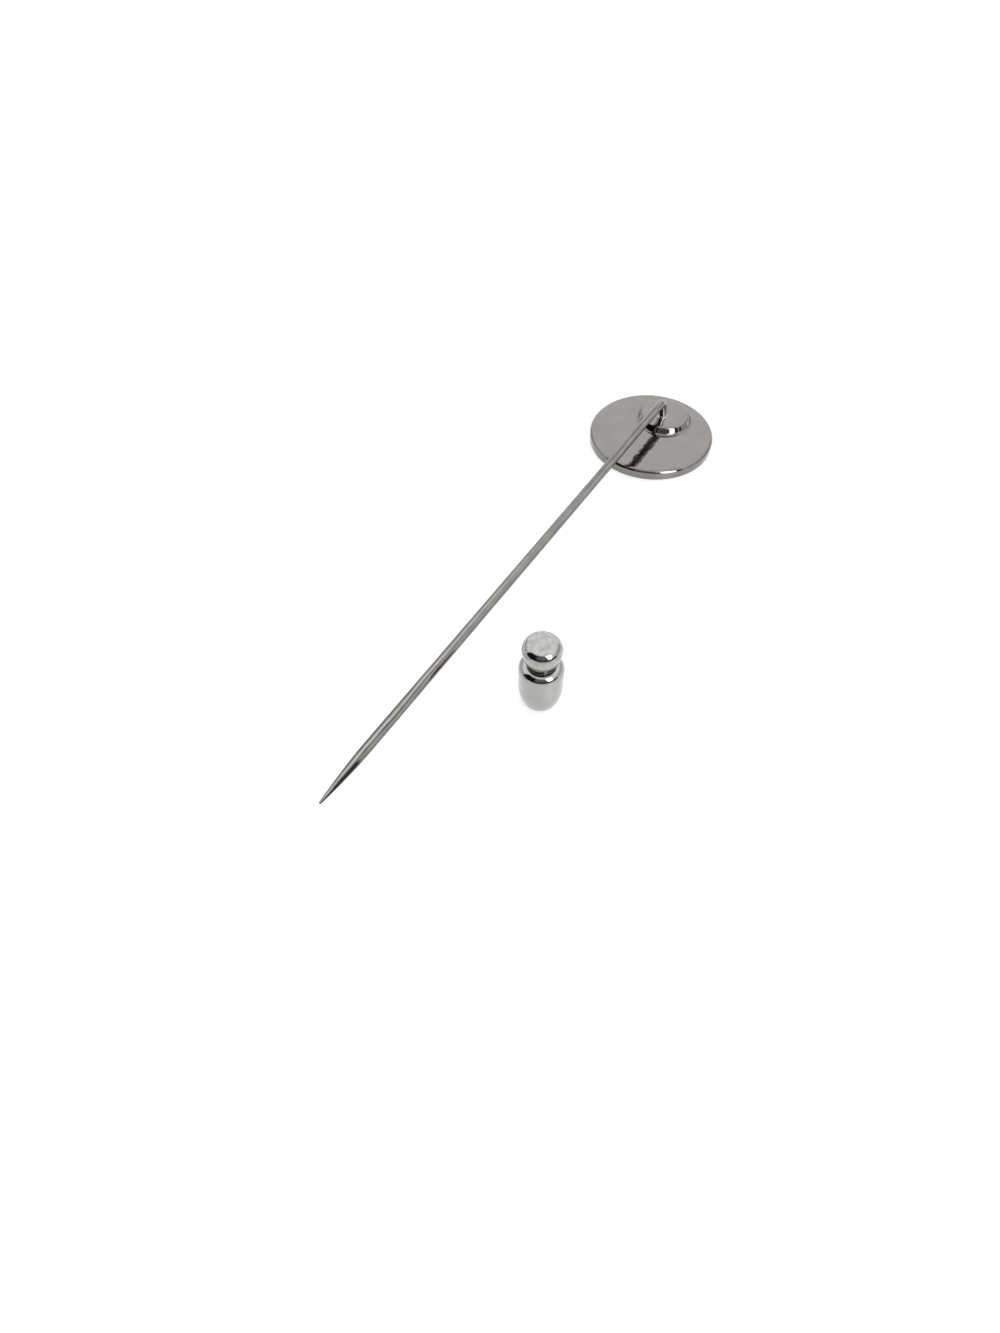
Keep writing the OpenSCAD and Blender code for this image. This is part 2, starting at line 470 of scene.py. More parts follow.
def painted_wire_shade(wiring):
    """Painted highlight and shade in long lines along the wire, turning slowly from point to bend.
    """
    place = wiring.node("ShaderNodeSeparateXYZ")
    wiring.plug(wiring.node("ShaderNodeTexCoord").outputs["Object"], place.inputs[0])
    across = wiring.maths("SUBTRACT", place.outputs["X"], WIRE_AXIS[0] * MM)
    above_axis = wiring.maths("SUBTRACT", place.outputs["Z"], WIRE_AXIS[1] * MM)
    wander = noise(wiring, mapped(wiring, (0.0, 0.12 * PER_MM, 0.0)), 1.0, 2.0, 0.5)
    grain = noise(wiring, mapped(wiring, (9 * PER_MM, 0.3 * PER_MM, 9 * PER_MM)), 1.0, 3.0, 0.6)
    angle = wiring.maths("DIVIDE", wiring.maths("ARCTAN2", across, above_axis), RAD)
    angle = wiring.maths("ADD", angle, between(wiring, wander, 0.3, 0.7, -WANDER, WANDER))
    angle = wiring.maths("ADD", angle, between(wiring, grain, 0.3, 0.7, -GRAIN, GRAIN))
    lines = painted_shade_ramp(wiring, angle, GROUND_PAINTED_SHADE)
    shank = wiring.step(place.outputs["Y"], GROUND_FROM_Y * MM, 0.5 * MM)
    lines = blend(wiring, shank, lines, painted_shade_ramp(wiring, angle, SHANK_PAINTED_SHADE))
    from_y, to_y = PAINTED_SHADE_FROM_Y * MM, PAINTED_SHADE_TO_Y * MM
    near_disc = between(wiring, place.outputs["Y"], from_y, to_y, 0.0, 1.0)
    lines = blend(wiring, near_disc, lines, painted_shade_ramp(wiring, angle, DISC_PAINTED_SHADE))
    # Past the shank the colour is painted by height: lighter on the leg, painted highlight, and
    # darker at the top of the bend, painted shade.
    bent_part = wiring.step(place.outputs["Y"], PAINTED_SHADE_END_Y * MM, 0.8 * MM)
    foot, top = BEND_FOOT_Z * MM, BEND_TOP_Z * MM
    bend_painted_shade = between(wiring, place.outputs["Z"], foot, top, LEG_PAINTED_LIGHT, BEND_PAINTED_SHADE)
    return blend(wiring, bent_part, lines, bend_painted_shade)


print("wire lines:", len(GROUND_PAINTED_SHADE), len(SHANK_PAINTED_SHADE), len(DISC_PAINTED_SHADE), "tones")

# %% [markdown]
# The recipe for plate. A plated surface is a clear mirror with faults of three sizes: clouds a
# few millimetres wide, where its colour and gloss change a little, a ripple that bends what it
# mirrors, and hairlines and specks that only catch the light. Each size has its own noise, and
# two Bump nodes in a row put the fine faults on top of the coarse ones. One noise for all of
# them would be shorter, but then every fault would lie on the same spots.

# %% Plating recipe
def plated_metal(
    name,
    pale,
    dull,
    gloss,
    haze,
    ripple,
    ripple_per_mm,
    hairline,
    hair_stretch,
    cloud_per_mm=0.45,
    painted_shade=None,
):
    """Bright plate: colour between pale and dull, gloss plus haze, a ripple and fine hairlines."""
    material = bpy.data.materials.new(name)
    material.use_nodes = True
    wiring = Wiring(material.node_tree)
    plate = material.node_tree.nodes["Principled BSDF"]
    plate.inputs["Metallic"].default_value = 1.0
    even = mapped(wiring, (PER_MM, PER_MM, PER_MM))
    drawn = mapped(wiring, tuple(s * PER_MM for s in hair_stretch), shift=(3.1, 1.7, 0.9))
    cloud = noise(wiring, even, cloud_per_mm, 3.0, 0.55)
    hairs = noise(wiring, drawn, 1.0, 4.0, 0.65)
    specks = noise(wiring, even, 6.0, 2.0, 0.6)

    tone = wiring.node("ShaderNodeMix", data_type="RGBA")
    wiring.plug(between(wiring, cloud, 0.35, 0.65, 0.0, 1.0), tone.inputs["Factor"])
    tone.inputs[6].default_value = (*dull, 1)
    tone.inputs[7].default_value = (*pale, 1)
    colour = tone.outputs[2]
    # An optional table of painted highlight and shade scales the colour.
    if painted_shade:
        scaled = wiring.node("ShaderNodeVectorMath", operation="SCALE")
        wiring.plug(colour, scaled.inputs[0])
        wiring.plug(painted_shade(wiring), scaled.inputs["Scale"])
        colour = scaled.outputs["Vector"]
    wiring.plug(colour, plate.inputs["Base Color"])

    smear = between(wiring, cloud, 0.45, 0.8, gloss, gloss + haze)
    scuff = between(wiring, hairs, 0.55, 0.8, 0.0, haze)
    wiring.plug(wiring.maths("ADD", smear, scuff), plate.inputs["Roughness"])

    waves = noise(wiring, even, ripple_per_mm, 1.0, 0.4)
    first = wiring.node("ShaderNodeBump")
    first.inputs["Strength"].default_value = 1.0
    first.inputs["Distance"].default_value = ripple * MM
    wiring.plug(waves, first.inputs["Height"])
    second = wiring.node("ShaderNodeBump")
    second.inputs["Strength"].default_value = 1.0
    second.inputs["Distance"].default_value = hairline * MM
    lines = wiring.maths("ADD", hairs, wiring.maths("MULTIPLY", specks, 0.3))
    wiring.plug(lines, second.inputs["Height"])
    wiring.plug(first.outputs["Normal"], second.inputs["Normal"])
    wiring.plug(second.outputs["Normal"], plate.inputs["Normal"])
    return material


# %% [markdown]
# Five finishes come from that recipe. The disc is stamped and tumbled, so it ripples most. The
# pad is smaller and truer. The wire has painted highlight and shade in long lines. The clutch's
# barrel shows fine turned rings, and its knob is mottled. All have the grey of nickel, and the
# clutch is the brighter one. One material for everything would look like one casting, and a
# separate tree for each would be five times as long.

# %% Five finishes
stamped_nickel = plated_metal(
    "stamped_nickel",
    pale=(0.246, 0.236, 0.225),
    dull=(0.228, 0.219, 0.208),
    gloss=0.08,
    haze=0.05,
    ripple=0.026,
    ripple_per_mm=1.0,
    hairline=0.0004,
    hair_stretch=(3.0, 6.0, 3.0),
)
pad_nickel = plated_metal(
    "pad_nickel",
    pale=(0.246, 0.236, 0.225),
    dull=(0.228, 0.219, 0.208),
    gloss=0.06,
    haze=0.05,
    ripple=0.008,
    ripple_per_mm=0.5,
    hairline=0.0004,
    hair_stretch=(3.0, 6.0, 3.0),
)
drawn_nickel = plated_metal(
    "drawn_nickel",
    pale=(0.40, 0.390, 0.376),
    dull=(0.34, 0.330, 0.317),
    gloss=0.05,
    haze=0.06,
    ripple=0.004,
    ripple_per_mm=0.8,
    hairline=0.0015,
    hair_stretch=(9.0, 0.25, 9.0),
    # The wire's colour carries painted highlight and shade in long lines.
    painted_shade=painted_wire_shade,
)
turned_nickel = plated_metal(
    "turned_nickel",
    pale=(0.395, 0.392, 0.383),
    dull=(0.370, 0.367, 0.358),
    gloss=0.08,
    haze=0.05,
    ripple=0.004,
    ripple_per_mm=0.6,
    hairline=0.0008,
    hair_stretch=(1.0, 1.0, 12.0),
)
pressed_nickel = plated_metal(
    "pressed_nickel",
    pale=(0.445, 0.442, 0.432),
    dull=(0.315, 0.312, 0.304),
    gloss=0.09,
    haze=0.12,
    ripple=0.012,
    ripple_per_mm=1.3,
    hairline=0.0015,
    hair_stretch=(4.0, 4.0, 4.0),
    cloud_per_mm=1.7,
)
for made in (stamped_nickel, pad_nickel, drawn_nickel, turned_nickel, pressed_nickel):
    print(made.name, len(made.node_tree.nodes), "nodes")

# %% [markdown]
# Most parts of this pin come off a lathe, or look as if they did, so one Geometry Nodes tree
# makes them all. It takes an outline of points, radius in X and height in Z, and copies it
# round the axis on a grid: each column of the grid is one step of the turn, and each row is
# one point of the outline. Spin or Screw would do the same, but a tree keeps its sizes as
# named inputs, and a small wobble of the radius can be added where a surface isn't true.

# %% Lathe tree
TURN_STEPS = 192
MARK_SCALE = 2.6
MARK_SEED = 0.0
MERGE_GAP = 0.00005


def tree_socket(tree, name, kind, **values):
    socket = tree.interface.new_socket(name=name, in_out="INPUT", socket_type=kind)
    for key, value in values.items():
        setattr(socket, key, value)
    return socket


def lathe_tree():
    """Outline in, turned surface out: it is turned round Z, then moved to its place."""
    tree = bpy.data.node_groups.new("lathe", "GeometryNodeTree")
    tree_socket(tree, "Outline", "NodeSocketGeometry")
    tree_socket(tree, "Steps", "NodeSocketInt", default_value=TURN_STEPS)
    tree_socket(tree, "Place", "NodeSocketVector")
    tree_socket(tree, "Draw Marks", "NodeSocketFloat", default_value=0.0)
    tree_socket(tree, "Seed", "NodeSocketFloat", default_value=MARK_SEED)
    tree_socket(tree, "Finish", "NodeSocketMaterial")
    tree.interface.new_socket(name="Turned", in_out="OUTPUT", socket_type="NodeSocketGeometry")
    wiring = Wiring(tree)
    given = wiring.node("NodeGroupInput").outputs
    rows = wiring.node("GeometryNodeAttributeDomainSize")
    wiring.plug(given["Outline"], rows.inputs["Geometry"])
    row_count = rows.outputs["Point Count"]
    grid = wiring.node("GeometryNodeMeshGrid")
    wiring.plug(wiring.maths("ADD", given["Steps"], 1.0), grid.inputs["Vertices X"])
    wiring.plug(row_count, grid.inputs["Vertices Y"])

    index = wiring.node("GeometryNodeInputIndex").outputs[0]
    past_half = wiring.maths("ADD", index, 0.5)
    column = wiring.maths("FLOOR", wiring.maths("DIVIDE", past_half, row_count))
    row = wiring.maths("SUBTRACT", index, wiring.maths("MULTIPLY", column, row_count))
    sampled = wiring.node("GeometryNodeSampleIndex", data_type="FLOAT_VECTOR", domain="POINT")
    wiring.plug(given["Outline"], sampled.inputs["Geometry"])
    wiring.plug(wiring.node("GeometryNodeInputPosition").outputs[0], sampled.inputs["Value"])
    wiring.plug(row, sampled.inputs["Index"])
    outline = wiring.node("ShaderNodeSeparateXYZ")
    wiring.plug(sampled.outputs["Value"], outline.inputs[0])

    angle = wiring.maths("DIVIDE", wiring.maths("MULTIPLY", column, 2 * math.pi), given["Steps"])
    across = wiring.maths("COSINE", angle)
    along = wiring.maths("SINE", angle)
    ring = wiring.node("ShaderNodeCombineXYZ")
    wiring.plug(across, ring.inputs[0])
    wiring.plug(along, ring.inputs[1])
    wiring.plug(given["Seed"], ring.inputs[2])
    marks = wiring.node("ShaderNodeTexNoise")
    marks.inputs["Scale"].default_value = MARK_SCALE
    marks.inputs["Detail"].default_value = 2.0
    wiring.plug(ring.outputs[0], marks.inputs["Vector"])
    swing = wiring.maths("SUBTRACT", marks.outputs["Fac"], 0.5)
    wobble = wiring.maths("MULTIPLY", swing, given["Draw Marks"])
    radius = wiring.maths("MULTIPLY", outline.outputs["X"], wiring.maths("ADD", wobble, 1.0))

    place = wiring.node("ShaderNodeCombineXYZ")
    wiring.plug(wiring.maths("MULTIPLY", radius, across), place.inputs[0])
    wiring.plug(wiring.maths("MULTIPLY", radius, along), place.inputs[1])
    wiring.plug(outline.outputs["Z"], place.inputs[2])
    shaped = wiring.node("GeometryNodeSetPosition")
    wiring.plug(grid.outputs["Mesh"], shaped.inputs["Geometry"])
    wiring.plug(place.outputs[0], shaped.inputs["Position"])
    closed = wiring.node("GeometryNodeMergeByDistance")
    wiring.plug(shaped.outputs[0], closed.inputs["Geometry"])
    closed.inputs["Distance"].default_value = MERGE_GAP * MM
    moved = wiring.node("GeometryNodeTransform")
    wiring.plug(closed.outputs[0], moved.inputs["Geometry"])
    wiring.plug(given["Place"], moved.inputs["Translation"])
    smooth = wiring.node("GeometryNodeSetShadeSmooth")
    wiring.plug(moved.outputs[0], smooth.inputs["Geometry"])
    real = wiring.node("GeometryNodeRealizeInstances")
    wiring.plug(smooth.outputs[0], real.inputs["Geometry"])
    finished = wiring.node("GeometryNodeSetMaterial")
    wiring.plug(real.outputs[0], finished.inputs["Geometry"])
    wiring.plug(given["Finish"], finished.inputs["Material"])
    wiring.plug(finished.outputs[0], wiring.node("NodeGroupOutput").inputs["Turned"])
    return tree


LATHE = lathe_tree()
print("lathe tree with", len(LATHE.nodes), "nodes")

# %% [markdown]
# Running a tree. A modifier is live, and it would work again at each change of the piece. Here
# its inputs are set, its result is kept as a plain mesh, and the modifier is taken off, so
# that each piece is finished before it is told which body it rides on. The Apply operator
# would do the same, but an operator needs a selected object and a window to work in.

# %% Running a tree
def outline_object(name, points):
    """An outline in millimetres as a chain of edges, which the lathe reads."""
    mesh = bpy.data.meshes.new(name)
    places = [(radius * MM, 0, height * MM) for radius, height in points]
    mesh.from_pydata(places, [(i, i + 1) for i in range(len(places) - 1)], [])
    made = bpy.data.objects.new(name, mesh)
    bpy.context.scene.collection.objects.link(made)
    return made


def apply_tree(piece, tree, values):
    """Runs a tree on a piece, keeps the result as its plain mesh and takes the modifier off."""
    modifier = piece.modifiers.new(tree.name, "NODES")
    modifier.node_group = tree
    for item in tree.interface.items_tree:
        if item.in_out == "INPUT" and item.name in values:
            modifier[item.identifier] = values[item.name]
    evaluated = piece.evaluated_get(bpy.context.evaluated_depsgraph_get())
    mesh = bpy.data.meshes.new_from_object(evaluated)
    piece.modifiers.clear()
    mesh.name = piece.name
    piece.data = mesh


def turned_mesh(name, points, finish, place=(0, 0, 0), steps=TURN_STEPS, marks=0.0):
    """Runs the lathe on an outline and keeps the result as a plain mesh."""
    piece = outline_object(name, points)
    apply_tree(piece, LATHE, {
        "Steps": steps,
        "Place": tuple(v * MM for v in place),
        "Draw Marks": marks,
        "Seed": MARK_SEED,
        "Finish": finish,
    })
    print(name, len(piece.data.polygons), "faces")
    return piece


def settle(piece, body, node):
    """Puts a finished piece on its body and hides the CAD node that it stands for."""
    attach(piece, body)
    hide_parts(node)
    return piece

# %% [markdown]
# An outline is built from straight runs and arcs. A mirror shows every fault of its shading,
# so an arc gets a point every few degrees, and each straight run gets a point close to either
# end. The shading then changes only on the arc, and the flats stay flat.

# %% Outlines
ARC_STEP = 3.0
GUARD = 0.012


def arc(centre_r, centre_z, radius, start, end):
    """Points along an arc, from one angle to the other in degrees."""
    count = max(2, round(abs(end - start) / ARC_STEP))
    angles = [math.radians(start + (end - start) * i / count) for i in range(count + 1)]
    return [(centre_r + radius * math.cos(a), centre_z + radius * math.sin(a)) for a in angles]


def joined(*runs):
    """Puts runs of points together, and adds guard points close to the ends of long steps."""
    points = []
    for run in runs:
        for point in run:
            if points and math.dist(points[-1], point) < 1e-6:
                continue
            if points and math.dist(points[-1], point) > 4 * GUARD:
                before = points[-1]
                share = GUARD / math.dist(before, point)
                for s in (share, 1 - share):
                    points.append((
                        before[0] + (point[0] - before[0]) * s,
                        before[1] + (point[1] - before[1]) * s,
                    ))
            points.append(point)
    return points


print("a quarter turn has", len(arc(0, 0, 1, 0, 90)), "points")

# %% [markdown]
# The face disc is stamped from sheet and tumbled, so its two edges are round and its back is
# nearly flat. The back carries a very low crown near its rim, where polishing takes a little
# more away. It could be a cylinder with a bevel, but an outline keeps the rim's round and the
# crown in one smooth skin.

# %% Face disc
DISC_R = (pin_high.x - pin_low.x) / 2 / MM
DISC_T = 1.5
FRONT_ROUND = 0.2
BACK_ROUND = 0.5
SIDE_ROUND = 0.1
SLOPE_L = 0.16
SLOPE_STEEP = 50


def disc_outline():
    """The back turns down over an arc, runs down a narrow slope and turns over at the side."""
    steep, up = math.radians(SLOPE_STEEP), math.radians(90 - SLOPE_STEEP)
    edge_r = DISC_R - SIDE_ROUND
    turn_r = edge_r + (SIDE_ROUND - BACK_ROUND) * math.cos(up) - SLOPE_L * math.cos(steep)
    turn_z = DISC_T - BACK_ROUND
    edge_z = turn_z + (BACK_ROUND - SIDE_ROUND) * math.sin(up) - SLOPE_L * math.sin(steep)
    return joined(
        [(0, 0)],
        arc(DISC_R - FRONT_ROUND, FRONT_ROUND, FRONT_ROUND, -90, 0),
        arc(edge_r, edge_z, SIDE_ROUND, 0, 90 - SLOPE_STEEP),
        arc(turn_r, turn_z, BACK_ROUND, 90 - SLOPE_STEEP, 90),
        [(0, DISC_T)],
    )


face_disc = turned_mesh("face_disc", disc_outline(), stamped_nickel)
settle(face_disc, "pin", "soldered_pin")

# %% [markdown]
# The pad is a small round plate pressed up from sheet. Its side doesn't stand straight: it
# sweeps up from a thin rim in a hollow curve, runs up a steep cone, and turns over in a round
# edge. That S in its side is what makes the bright ring and the dark band round the pad, so
# the outline works out both arcs so that they meet the cone without a corner.

# %% Round pad
PAD_PLACE = (0.25, 3.7, DISC_T)
PAD_RIM_R = 4.13
PAD_RIM_T = 0.04
PAD_T = 0.92
PAD_STEEP = 57
PAD_RIM_STEEP = 12
PAD_HOLLOW_R = 0.45
PAD_EDGE_R = 0.4


def pad_outline():
    steep, rim_steep = math.radians(PAD_STEEP), math.radians(PAD_RIM_STEEP)
    hollow_r = PAD_RIM_R + PAD_HOLLOW_R * math.sin(rim_steep)
    hollow_z = PAD_RIM_T + PAD_HOLLOW_R * math.cos(rim_steep)
    hollow_top_z = hollow_z - PAD_HOLLOW_R * math.cos(steep)
    edge_z = PAD_T - PAD_EDGE_R
    edge_foot_z = edge_z + PAD_EDGE_R * math.cos(steep)
    cone_run = (edge_foot_z - hollow_top_z) / math.tan(steep)
    edge_r = hollow_r - (PAD_HOLLOW_R + PAD_EDGE_R) * math.sin(steep) - cone_run
    return joined(
        [(PAD_RIM_R - 0.03, -0.05)],
        arc(hollow_r, hollow_z, PAD_HOLLOW_R, 270 - PAD_RIM_STEEP, 270 - PAD_STEEP),
        arc(edge_r, edge_z, PAD_EDGE_R, 90 - PAD_STEEP, 90),
        [(0, PAD_T)],
    )


round_pad = turned_mesh("round_pad", pad_outline(), pad_nickel, place=PAD_PLACE)
settle(round_pad, "pin", "soldered_pin")

# %% [markdown]
# The pin is one length of drawn wire. Its point is ground first, then its other end is bent
# down over a rod to make a short leg, and the leg is soldered to the pad. It is made the same
# way here: the lathe turns a straight wire with its point, and a second Geometry Nodes tree
# bends it. Every ring of the wire knows how far along it stands, so a ring before the bend
# goes down the leg, one in the bend turns about the rod, and one past it stays straight. A
# bevelled curve would give the same shape, but its ground point would need a taper object.

# %% Bent wire
WIRE_R = 0.6
BEND_R = 0.75
LEG_LEAN = 10.0
WIRE_PLACE = (-0.22, 2.33, 4.6)
TIP_Y = -74.42
TAPER_L = 7.4
TIP_R = 0.13
SHANK_SLOPE = 0.022
LEG_L = WIRE_PLACE[2] - BEND_R - DISC_T - 0.6
BEND_L = BEND_R * math.pi / 2
WIRE_L = LEG_L + BEND_L + WIRE_PLACE[1] - TIP_Y


def bend_tree():
    """A straight wire along Z in, and out a wire that runs along -Y behind a bent down leg."""
    tree = bpy.data.node_groups.new("bend", "GeometryNodeTree")
    tree_socket(tree, "Wire", "NodeSocketGeometry")
    tree_socket(tree, "Leg Length", "NodeSocketFloat")
    tree_socket(tree, "Bend Radius", "NodeSocketFloat")
    tree_socket(tree, "Lean", "NodeSocketVector")
    tree_socket(tree, "Place", "NodeSocketVector")
    tree_socket(tree, "Finish", "NodeSocketMaterial")
    tree.interface.new_socket(name="Bent", in_out="OUTPUT", socket_type="NodeSocketGeometry")
    wiring = Wiring(tree)
    given = wiring.node("NodeGroupInput").outputs
    straight = wiring.node("ShaderNodeSeparateXYZ")
    wiring.plug(wiring.node("GeometryNodeInputPosition").outputs[0], straight.inputs[0])
    across, above_wire, along = straight.outputs
    bend_radius = given["Bend Radius"]
    bend_length = wiring.maths("MULTIPLY", bend_radius, math.pi / 2)
    past_leg = wiring.maths("SUBTRACT", along, given["Leg Length"])
    shank = wiring.maths("MAXIMUM", wiring.maths("SUBTRACT", past_leg, bend_length), 0.0)
    leg = wiring.maths("MAXIMUM", wiring.maths("MULTIPLY", past_leg, -1.0), 0.0)
    in_bend = wiring.maths("MINIMUM", wiring.maths("MAXIMUM", past_leg, 0.0), bend_length)
    turn_left = wiring.maths("DIVIDE", wiring.maths("SUBTRACT", bend_length, in_bend), bend_radius)
    arm = wiring.maths("ADD", bend_radius, above_wire)
    reach = wiring.maths("MULTIPLY", arm, wiring.maths("SINE", turn_left))
    back = wiring.maths("SUBTRACT", reach, shank)
    climb = wiring.maths("MULTIPLY", arm, wiring.maths("COSINE", turn_left))
    rise = wiring.maths("SUBTRACT", climb, bend_radius)
    bent = wiring.node("ShaderNodeCombineXYZ")
    wiring.plug(across, bent.inputs[0])
    wiring.plug(back, bent.inputs[1])
    wiring.plug(wiring.maths("SUBTRACT", rise, leg), bent.inputs[2])
    shaped = wiring.node("GeometryNodeSetPosition")
    wiring.plug(given["Wire"], shaped.inputs["Geometry"])
    wiring.plug(bent.outputs[0], shaped.inputs["Position"])
    moved = wiring.node("GeometryNodeTransform")
    wiring.plug(shaped.outputs[0], moved.inputs["Geometry"])
    wiring.plug(given["Lean"], moved.inputs["Rotation"])
    wiring.plug(given["Place"], moved.inputs["Translation"])
    real = wiring.node("GeometryNodeRealizeInstances")
    wiring.plug(moved.outputs[0], real.inputs["Geometry"])
    finished = wiring.node("GeometryNodeSetMaterial")
    wiring.plug(real.outputs[0], finished.inputs["Geometry"])
    wiring.plug(given["Finish"], finished.inputs["Material"])
    wiring.plug(finished.outputs[0], wiring.node("NodeGroupOutput").inputs["Bent"])
    return tree


BEND = bend_tree()
print("bend tree with", len(BEND.nodes), "nodes for a wire of", round(WIRE_L, 1), "mm")

# %% [markdown]
# The wire itself. Its outline is a straight rod with a bowed and slightly blunt point, as a
# grinding wheel leaves it. It has many rings where the bend will be, so that it turns in a
# smooth curve, and only a few along the straight shank. Even steps would be simpler, but they
# would waste most rings where nothing changes. The lathe turns the rod, and the second tree
# bends it and leans it a little.

# %% Turning and bending the wire
BEND_RINGS = 30
POINT_RINGS = 40


def point_radius(run):
    """The wire's radius at a distance from the start of its ground point."""
    bow = (WIRE_R - TIP_R - SHANK_SLOPE * TAPER_L) / TAPER_L ** 2
    return WIRE_R - SHANK_SLOPE * run - bow * run * run


def wire_outline():
    """Rings stand close together where the wire is bent or ground, and far apart between."""
    shank_start = LEG_L + BEND_L
    bend = [(WIRE_R, LEG_L + BEND_L * i / BEND_RINGS) for i in range(BEND_RINGS + 1)]
    shank = [(WIRE_R, shank_start + run) for run in (0.3, *range(8, 72, 8))]
    point_start = WIRE_L - TAPER_L
    runs = [TAPER_L * i / POINT_RINGS for i in range(POINT_RINGS)]
    ground = [(point_radius(run), point_start + run) for run in runs]
    return joined(
        [(0, 0), (WIRE_R, 0)],
        bend,
        shank,
        ground,
        [(TIP_R, WIRE_L - 0.06), (TIP_R * 0.7, WIRE_L - 0.015), (0, WIRE_L)],
    )


needle = turned_mesh("needle", wire_outline(), drawn_nickel, steps=96, marks=0.006)
apply_tree(needle, BEND, {
    "Leg Length": LEG_L * MM,
    "Bend Radius": BEND_R * MM,
    "Lean": (0, -math.radians(LEG_LEAN), 0),
    "Place": tuple(v * MM for v in WIRE_PLACE),
    "Finish": drawn_nickel,
})
settle(needle, "pin", "soldered_pin")

# %% [markdown]
# Solder runs a little way up the leg and out over the pad in a hollow curve. It could be part
# of the wire's outline, but it stands straight on the pad while the leg leans. So it is a
# turned piece of its own, and the leg passes through it.

# %% Solder at the leg
LEG_FOOT = (
    WIRE_PLACE[0] + math.tan(math.radians(LEG_LEAN)) * (WIRE_PLACE[2] - DISC_T - PAD_T),
    WIRE_PLACE[1] + BEND_R,
    DISC_T + PAD_T,
)
SOLDER_R = 0.75
SOLDER_CURVE_R = 0.25
SOLDER_SKIN = 0.03


def solder_outline():
    """One hollow arc from the pad up to a thin skin on the wire."""
    reach = SOLDER_CURVE_R + WIRE_R + SOLDER_SKIN - SOLDER_R
    rise = math.sqrt(SOLDER_CURVE_R ** 2 - reach ** 2)
    start = 180 + math.degrees(math.asin(rise / SOLDER_CURVE_R))
    return joined(
        [(SOLDER_R, -0.05)],
        arc(WIRE_R + SOLDER_SKIN + SOLDER_CURVE_R, rise, SOLDER_CURVE_R, start, 180),
        [(WIRE_R - 0.1, rise + SOLDER_SKIN)],
    )


# The solder shares the wire's finish, with the leg's painted highlight.
solder = turned_mesh("leg_solder", solder_outline(), drawn_nickel, place=LEG_FOOT, steps=96)
settle(solder, "pin", "soldered_pin")

# %% [markdown]
# The clutch is turned from brass rod and plated. Its barrel stands on its narrow open end, as
# it does in the photo. A long shallow curve widens it from there to a straight side, and a
# round shoulder turns in to the hole for the knob's neck. The hole for the needle is hidden in
# the photo, and it is drilled through the floor of that larger hole. It could be cut with a
# boolean, but on a turned piece a hole is just a few more points of the outline.

# %% Clutch barrel
CLUTCH_PLACE = ((barrel_low.x + barrel_high.x) / 2 / MM, (barrel_low.y + barrel_high.y) / 2 / MM, 0)
BARREL_R = (barrel_high.x - barrel_low.x) / 2 / MM
BARREL_H = barrel_high.z / MM
SHOULDER_ROUND = 1.0
NOSE_H = 2.9
NOSE_CURVE_R = 7.6
NOSE_ROUND = 0.25
BORE_R = 0.65
NECK_R = 1.45
NECK_ROOM = 0.05
CHAMBER_FLOOR = 3.6
NOSE_RINGS = 24


def barrel_outline():
    """Down the wide hole and the narrow one, round the open end, and up the outside."""
    curve_centre = BARREL_R - NOSE_CURVE_R
    flat_r = curve_centre + math.sqrt((NOSE_CURVE_R - NOSE_ROUND) ** 2 - (NOSE_H - NOSE_ROUND) ** 2)
    meet = -math.degrees(math.asin((NOSE_H - NOSE_ROUND) / (NOSE_CURVE_R - NOSE_ROUND)))
    angles = [math.radians(meet * (1 - i / NOSE_RINGS)) for i in range(NOSE_RINGS + 1)]
    nose = [
        (curve_centre + NOSE_CURVE_R * math.cos(a), NOSE_H + NOSE_CURVE_R * math.sin(a))
        for a in angles
    ]
    return joined(
        [(NECK_R + NECK_ROOM, BARREL_H), (NECK_R + NECK_ROOM, CHAMBER_FLOOR)],
        [(BORE_R, CHAMBER_FLOOR), (BORE_R, 0)],
        arc(flat_r, NOSE_ROUND, NOSE_ROUND, -90, meet),
        nose,
        arc(BARREL_R - SHOULDER_ROUND, BARREL_H - SHOULDER_ROUND, SHOULDER_ROUND, 0, 90),
        [(NECK_R + NECK_ROOM, BARREL_H)],
    )


barrel = turned_mesh("clutch_sleeve", barrel_outline(), turned_nickel, place=CLUTCH_PLACE)
settle(barrel, "clutch", "clutch_barrel")

# %% [markdown]
# The knob is what one pulls to free the needle. Its straight skirt ends in a crisp edge over a
# dark gap, and one large arc runs from the skirt up to a flat top with a clear rim. The flat
# is a little mottled and has a soft dimple where the tool let go of it. The neck goes down
# into the barrel with room all round it, so that the knob can move.

# %% Clutch knob
KNOB_TOP = knob_high.z / MM
KNOB_R = (knob_high.x - knob_low.x) / 2 / MM
KNOB_FLAT_R = 1.655
KNOB_UPPER_R = 1.27
KNOB_TOP_EDGE_R = 0.12
SKIRT_LEAN = 12.5
SKIRT_LOW_Z = 7.6
SKIRT_EDGE_R = 0.06
NECK_BOTTOM = 3.75
BORE_TOP = 8.2
DIMPLE_R = 0.5
DIMPLE_DEPTH = 0.035
DIMPLE_RINGS = 24


def dimple_drop(share):
    """How deep the soft dimple is, from its middle at share 0 to its edge at 1."""
    return DIMPLE_DEPTH * (0.5 + 0.5 * math.cos(math.pi * share))


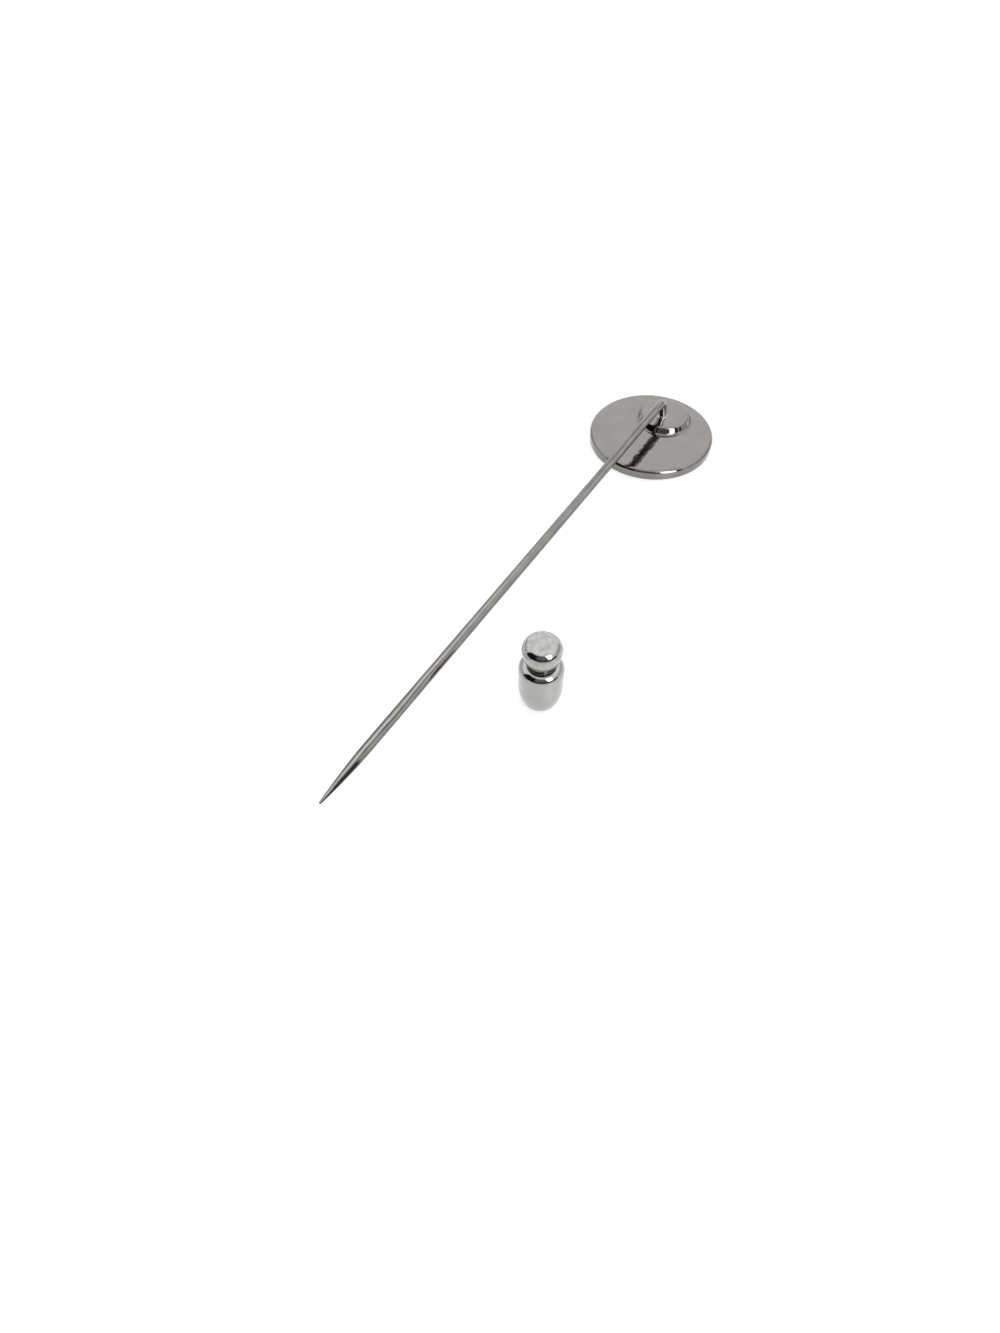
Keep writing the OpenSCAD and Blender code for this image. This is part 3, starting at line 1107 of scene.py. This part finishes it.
def knob_outline():
    """A neck, a straight skirt with a crisp lower edge, and one arc up to the flat top."""
    arc_r = KNOB_R - KNOB_UPPER_R
    middle_z = KNOB_TOP - math.sqrt(KNOB_UPPER_R ** 2 - (KNOB_FLAT_R - arc_r) ** 2)
    lean = math.radians(SKIRT_LEAN)
    skirt_drop = middle_z - KNOB_UPPER_R * math.sin(lean) - SKIRT_LOW_Z
    skirt_low_r = arc_r + KNOB_UPPER_R * math.cos(lean) - skirt_drop * math.tan(lean)
    skirt_edge_r = skirt_low_r - SKIRT_EDGE_R * (1 - math.sin(lean)) / math.cos(lean)
    edge_rise = KNOB_TOP - KNOB_TOP_EDGE_R - middle_z
    edge_run = math.sqrt((KNOB_UPPER_R - KNOB_TOP_EDGE_R) ** 2 - edge_rise ** 2)
    meet = math.degrees(math.atan2(edge_rise, edge_run))
    shares = [1 - i / DIMPLE_RINGS for i in range(DIMPLE_RINGS + 1)]
    dimple = [(DIMPLE_R * share, KNOB_TOP - dimple_drop(share)) for share in shares]
    return joined(
        [(0, BORE_TOP), (BORE_R, BORE_TOP), (BORE_R, NECK_BOTTOM)],
        [(NECK_R, NECK_BOTTOM), (NECK_R, SKIRT_LOW_Z)],
        arc(skirt_edge_r, SKIRT_LOW_Z + SKIRT_EDGE_R, SKIRT_EDGE_R, -90, -SKIRT_LEAN),
        arc(arc_r, middle_z, KNOB_UPPER_R, -SKIRT_LEAN, meet),
        arc(arc_r + edge_run, KNOB_TOP - KNOB_TOP_EDGE_R, KNOB_TOP_EDGE_R, meet, 90),
        dimple,
    )


knob = turned_mesh("pull_knob", knob_outline(), pressed_nickel, place=CLUTCH_PLACE)
settle(knob, "knob", "clutch_knob")

# %% [markdown]
# The last cell prints the box of these pieces next to the box of the imported model. They share
# one frame, so the two boxes agree to a few hundredths of a millimetre, and a piece that was
# moved or scaled by mistake would show here.

# %% Sizes and finish
visual_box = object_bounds()
for title, box in (("packed", cad_box), ("drawn", visual_box)):
    print(title, [[round(v / MM, 2) for v in corner] for corner in box])
